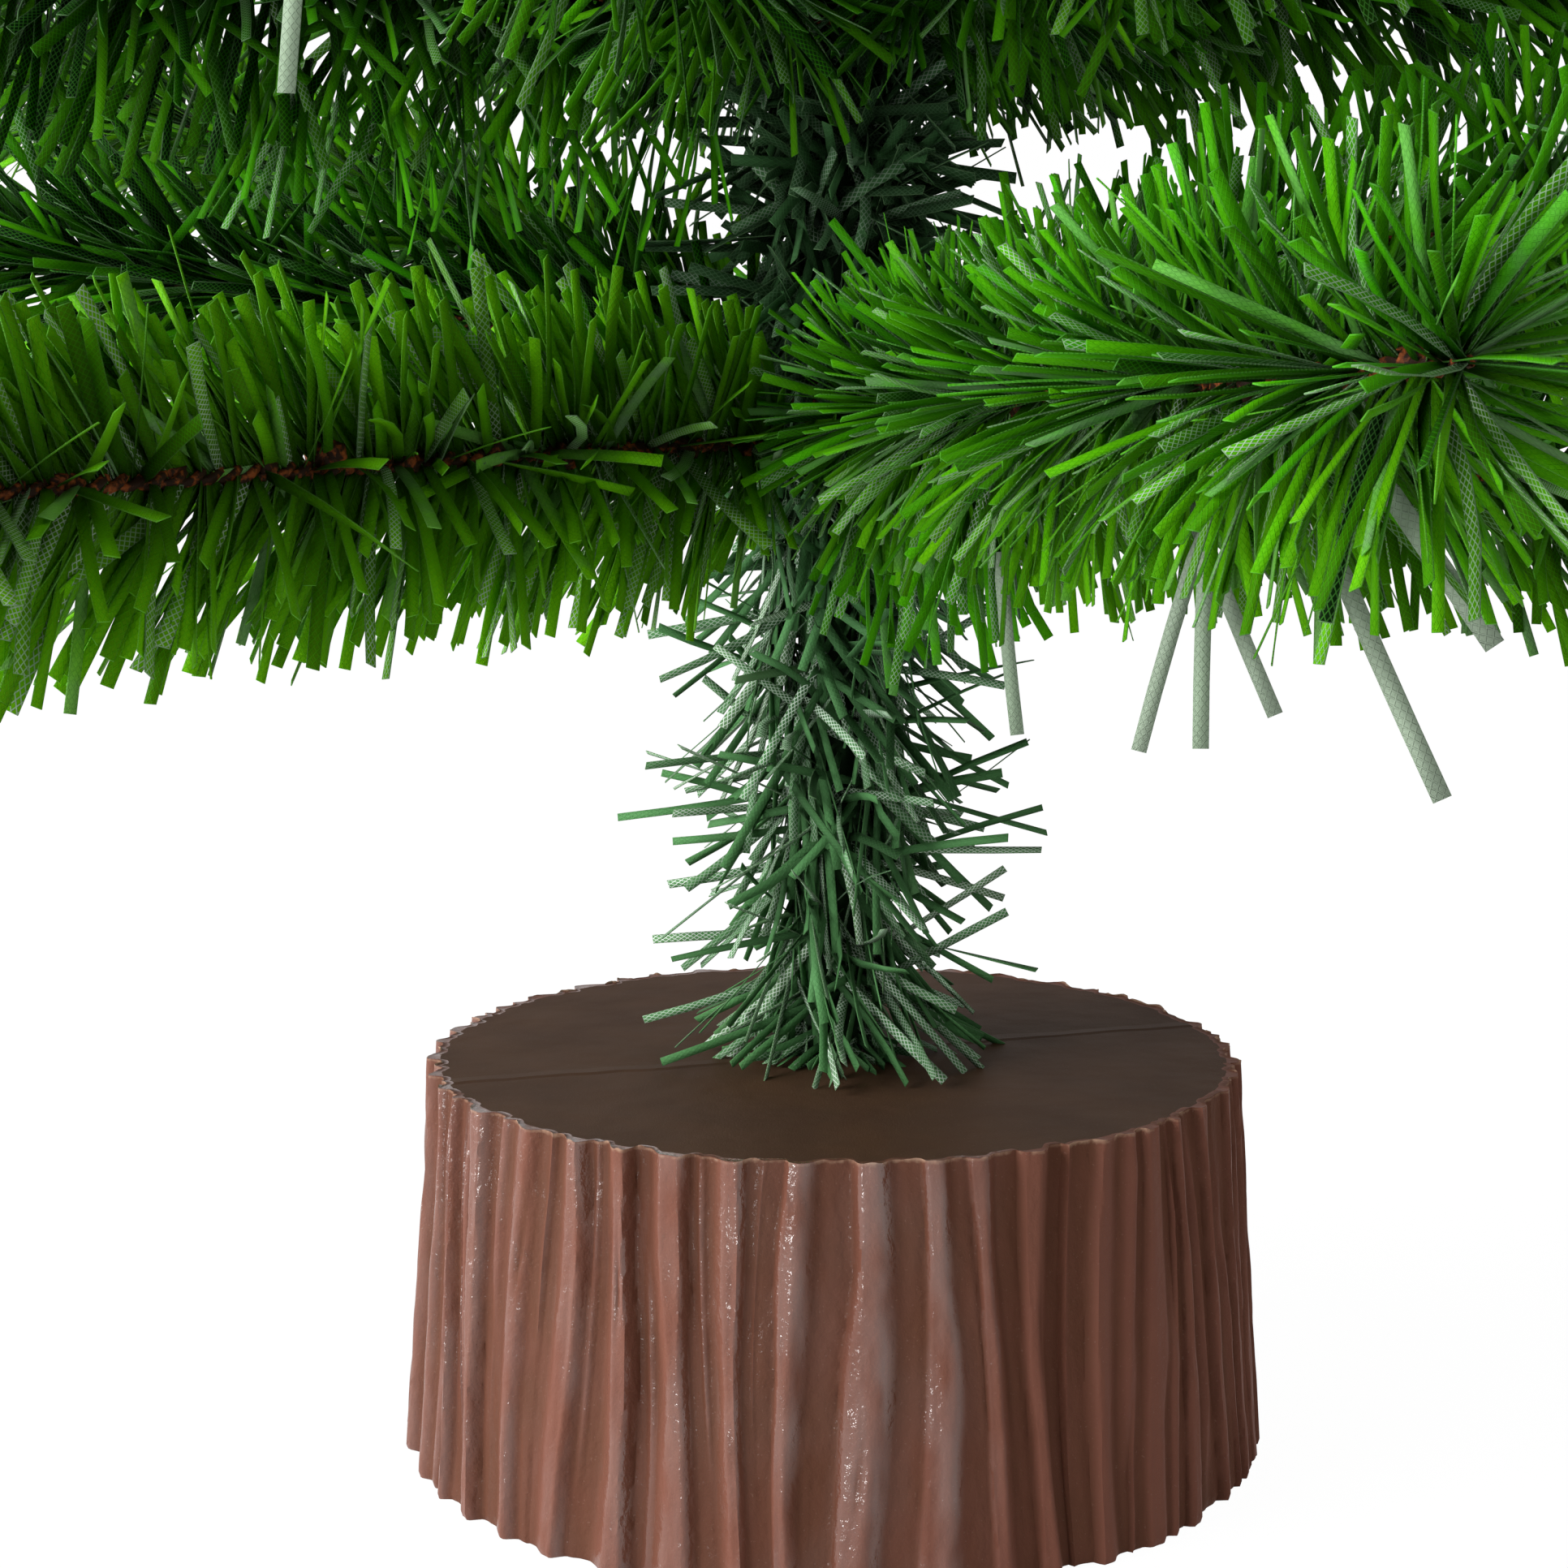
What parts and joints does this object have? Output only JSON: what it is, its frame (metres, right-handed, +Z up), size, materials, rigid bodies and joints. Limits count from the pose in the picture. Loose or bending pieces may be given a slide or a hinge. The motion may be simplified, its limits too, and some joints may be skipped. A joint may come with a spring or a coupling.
{
  "type": "artificial christmas tree",
  "caption": "Tabletop artificial tree: film-needle branches on bendable wires, a needle-wrapped trunk and a weighted, fluted tree-stump base.",
  "frame": {"origin": "middle of the underside of the stump base, on the table", "axes": "+Z up along the trunk, -Y toward the side that the picture shows, +X to the right seen from there"},
  "size_m": [0.3429, 0.3532, 0.4503],
  "materials": {
    "stump_plastic": "reddish-brown fluted moulding, semi-gloss sides and a matte dark top",
    "ballast_plaster": "cast, rough",
    "plate_plastic": "plain moulded brown",
    "pole_steel": "dark brown wrap",
    "root_wire": "reddish-brown film over wire",
    "branch_wire": "reddish-brown film over twisted wire",
    "needle_film": "embossed film, bright yellowish green to dark green with grey-green backs",
    "trunk_needle_film": "embossed film, dark bluish green with a pale diamond mesh"
  },
  "bodies": {
    "trunk": {"base_ballast": "ballast_plaster", "base_bottom_plate": "plate_plastic", "base_shell": "stump_plastic", "leader_needles": "needle_film", "leader_stem": "branch_wire", "tier_1_winding": "root_wire", "tier_2_winding": "root_wire", "tier_3_winding": "root_wire", "tier_4_winding": "root_wire", "tier_5_winding": "root_wire", "trunk_garland": "trunk_needle_film", "trunk_pole": "pole_steel"},
    "branch_1_1": {"branch_1_1_wire": "branch_wire", "branch_1_1_needles": "needle_film"},
    "branch_1_2": {"branch_1_2_wire": "branch_wire", "branch_1_2_needles": "needle_film"},
    "branch_1_3": {"branch_1_3_wire": "branch_wire", "branch_1_3_needles": "needle_film"},
    "branch_1_4": {"branch_1_4_wire": "branch_wire", "branch_1_4_needles": "needle_film"},
    "branch_1_5": {"branch_1_5_wire": "branch_wire", "branch_1_5_needles": "needle_film"},
    "branch_1_6": {"branch_1_6_wire": "branch_wire", "branch_1_6_needles": "needle_film"},
    "branch_1_7": {"branch_1_7_wire": "branch_wire", "branch_1_7_needles": "needle_film"},
    "branch_1_8": {"branch_1_8_wire": "branch_wire", "branch_1_8_needles": "needle_film"},
    "branch_2_1": {"branch_2_1_wire": "branch_wire", "branch_2_1_needles": "needle_film"},
    "branch_2_2": {"branch_2_2_wire": "branch_wire", "branch_2_2_needles": "needle_film"},
    "branch_2_3": {"branch_2_3_wire": "branch_wire", "branch_2_3_needles": "needle_film"},
    "branch_2_4": {"branch_2_4_wire": "branch_wire", "branch_2_4_needles": "needle_film"},
    "branch_2_5": {"branch_2_5_wire": "branch_wire", "branch_2_5_needles": "needle_film"},
    "branch_2_6": {"branch_2_6_wire": "branch_wire", "branch_2_6_needles": "needle_film"},
    "branch_3_1": {"branch_3_1_wire": "branch_wire", "branch_3_1_needles": "needle_film"},
    "branch_3_2": {"branch_3_2_wire": "branch_wire", "branch_3_2_needles": "needle_film"},
    "branch_3_3": {"branch_3_3_wire": "branch_wire", "branch_3_3_needles": "needle_film"},
    "branch_3_4": {"branch_3_4_wire": "branch_wire", "branch_3_4_needles": "needle_film"},
    "branch_4_1": {"branch_4_1_wire": "branch_wire", "branch_4_1_needles": "needle_film"},
    "branch_4_2": {"branch_4_2_wire": "branch_wire", "branch_4_2_needles": "needle_film"},
    "branch_4_3": {"branch_4_3_wire": "branch_wire", "branch_4_3_needles": "needle_film"},
    "branch_5_1": {"branch_5_1_wire": "branch_wire", "branch_5_1_needles": "needle_film"},
    "branch_5_2": {"branch_5_2_wire": "branch_wire", "branch_5_2_needles": "needle_film"},
    "branch_5_3": {"branch_5_3_wire": "branch_wire", "branch_5_3_needles": "needle_film"}
  },
  "joints": [
    {"name": "branch_1_1_bend", "type": "hinge", "parent": "trunk", "child": "branch_1_1", "pos_m": [-0.00369, -0.00694, 0.12389], "axis": [-0.8829, 0.4695, 0], "range_deg": [-15, 74], "deforming": ["branch_1_1_needles"]},
    {"name": "branch_1_2_bend", "type": "hinge", "parent": "trunk", "child": "branch_1_2", "pos_m": [0.00178, -0.00771, 0.12639], "axis": [-0.9744, -0.225, 0], "range_deg": [-15, 70], "deforming": ["branch_1_2_needles"]},
    {"name": "branch_1_3_bend", "type": "hinge", "parent": "trunk", "child": "branch_1_3", "pos_m": [0.00572, -0.00592, 0.13109], "axis": [-0.7193, -0.6947, 0], "range_deg": [-15, 63], "deforming": ["branch_1_3_needles"]},
    {"name": "branch_1_4_bend", "type": "hinge", "parent": "trunk", "child": "branch_1_4", "pos_m": [0.00737, -0.00268, 0.1245], "axis": [-0.342, -0.9397, 0], "range_deg": [-15, 77], "deforming": ["branch_1_4_needles"]},
    {"name": "branch_1_5_bend", "type": "hinge", "parent": "trunk", "child": "branch_1_5", "pos_m": [0.00633, 0.00495, 0.12936], "axis": [0.6157, -0.788, 0], "range_deg": [-15, 69], "deforming": ["branch_1_5_needles"]},
    {"name": "branch_1_6_bend", "type": "hinge", "parent": "trunk", "child": "branch_1_6", "pos_m": [0, 0.00827, 0.12744], "axis": [1, 0, 0], "range_deg": [-15, 71], "deforming": ["branch_1_6_needles"]},
    {"name": "branch_1_7_bend", "type": "hinge", "parent": "trunk", "child": "branch_1_7", "pos_m": [-0.00646, 0.00469, 0.13228], "axis": [0.5878, 0.809, 0], "range_deg": [-15, 57], "deforming": ["branch_1_7_needles"]},
    {"name": "branch_1_8_bend", "type": "hinge", "parent": "trunk", "child": "branch_1_8", "pos_m": [-0.00823, 0.00014, 0.13249], "axis": [0.0175, 0.9998, 0], "range_deg": [-15, 66], "deforming": ["branch_1_8_needles"]},
    {"name": "branch_2_1_bend", "type": "hinge", "parent": "trunk", "child": "branch_2_1", "pos_m": [-0.007, -0.00357, 0.17417], "axis": [-0.454, 0.891, 0], "range_deg": [-15, 74], "deforming": ["branch_2_1_needles"]},
    {"name": "branch_2_2_bend", "type": "hinge", "parent": "trunk", "child": "branch_2_2", "pos_m": [-0.00217, -0.00757, 0.17221], "axis": [-0.9613, 0.2756, 0], "range_deg": [-15, 67], "deforming": ["branch_2_2_needles"]},
    {"name": "branch_2_3_bend", "type": "hinge", "parent": "trunk", "child": "branch_2_3", "pos_m": [0.00344, -0.00705, 0.17472], "axis": [-0.8988, -0.4384, 0], "range_deg": [-15, 66], "deforming": ["branch_2_3_needles"]},
    {"name": "branch_2_4_bend", "type": "hinge", "parent": "trunk", "child": "branch_2_4", "pos_m": [0.00806, 0.00071, 0.17516], "axis": [0.0872, -0.9962, 0], "range_deg": [-15, 71], "deforming": ["branch_2_4_needles"]},
    {"name": "branch_2_5_bend", "type": "hinge", "parent": "trunk", "child": "branch_2_5", "pos_m": [0.00394, 0.00683, 0.17325], "axis": [0.866, -0.5, 0], "range_deg": [-15, 65], "deforming": ["branch_2_5_needles"]},
    {"name": "branch_2_6_bend", "type": "hinge", "parent": "trunk", "child": "branch_2_6", "pos_m": [-0.00331, 0.00711, 0.17359], "axis": [0.9063, 0.4226, 0], "range_deg": [-15, 65], "deforming": ["branch_2_6_needles"]},
    {"name": "branch_3_1_bend", "type": "hinge", "parent": "trunk", "child": "branch_3_1", "pos_m": [-0.0052, -0.0062, 0.22031], "axis": [-0.766, 0.6428, 0], "range_deg": [-15, 59], "deforming": ["branch_3_1_needles"]},
    {"name": "branch_3_2_bend", "type": "hinge", "parent": "trunk", "child": "branch_3_2", "pos_m": [0.00646, -0.00469, 0.2209], "axis": [-0.5878, -0.809, 0], "range_deg": [-15, 59], "deforming": ["branch_3_2_needles"]},
    {"name": "branch_3_3_bend", "type": "hinge", "parent": "trunk", "child": "branch_3_3", "pos_m": [0.00546, 0.00606, 0.21918], "axis": [0.7431, -0.6691, 0], "range_deg": [-15, 60], "deforming": ["branch_3_3_needles"]},
    {"name": "branch_3_4_bend", "type": "hinge", "parent": "trunk", "child": "branch_3_4", "pos_m": [-0.00572, 0.00592, 0.21971], "axis": [0.7193, 0.6947, 0], "range_deg": [-15, 57], "deforming": ["branch_3_4_needles"]},
    {"name": "branch_4_1_bend", "type": "hinge", "parent": "trunk", "child": "branch_4_1", "pos_m": [0.00057, -0.0081, 0.26659], "axis": [-0.9976, -0.0698, 0], "range_deg": [-15, 48], "deforming": ["branch_4_1_needles"]},
    {"name": "branch_4_2_bend", "type": "hinge", "parent": "trunk", "child": "branch_4_2", "pos_m": [0.00683, 0.00394, 0.26731], "axis": [0.5, -0.866, 0], "range_deg": [-15, 46], "deforming": ["branch_4_2_needles"]},
    {"name": "branch_4_3_bend", "type": "hinge", "parent": "trunk", "child": "branch_4_3", "pos_m": [-0.00716, 0.00319, 0.26585], "axis": [0.4067, 0.9135, 0], "range_deg": [-15, 48], "deforming": ["branch_4_3_needles"]},
    {"name": "branch_5_1_bend", "type": "hinge", "parent": "trunk", "child": "branch_5_1", "pos_m": [0.00694, -0.00369, 0.31295], "axis": [-0.4695, -0.8829, 0], "range_deg": [-15, 36], "deforming": ["branch_5_1_needles"]},
    {"name": "branch_5_2_bend", "type": "hinge", "parent": "trunk", "child": "branch_5_2", "pos_m": [-0.00029, 0.00819, 0.3137], "axis": [0.9994, 0.0349, 0], "range_deg": [-15, 34], "deforming": ["branch_5_2_needles"]},
    {"name": "branch_5_3_bend", "type": "hinge", "parent": "trunk", "child": "branch_5_3", "pos_m": [-0.00659, -0.00444, 0.31221], "axis": [-0.5592, 0.829, 0], "range_deg": [-15, 38], "deforming": ["branch_5_3_needles"]}
  ]
}
